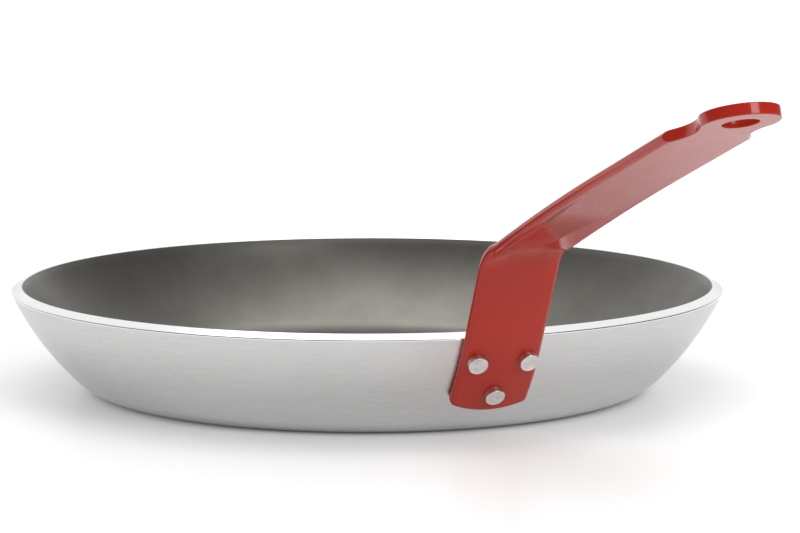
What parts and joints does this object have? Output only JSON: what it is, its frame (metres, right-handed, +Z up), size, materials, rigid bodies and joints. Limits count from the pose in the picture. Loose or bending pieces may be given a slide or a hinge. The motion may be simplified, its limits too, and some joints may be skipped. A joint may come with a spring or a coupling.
{
  "type": "omelette pan",
  "caption": "Shallow round pan with a thick flared wall, a non-stick inside and a rising strap handle that is riveted to the wall and ends in a round head with a hanging hole.",
  "frame": {"origin": "centre of the base, on the surface that the pan stands on", "axes": "+X from the centre of the pan along the handle, +Z up"},
  "size_m": [0.4775, 0.2796, 0.1392],
  "materials": {
    "aluminium": "brushed",
    "coating": "matte non-stick layer with fine metallic flecks",
    "enamel": "gloss",
    "rivet": "satin"
  },
  "bodies": {
    "root": {"pan_body": "aluminium", "nonstick_coating": "coating", "handle": "enamel", "rivet_left": "rivet", "rivet_right": "rivet", "rivet_lower": "rivet"}
  },
  "joints": []
}
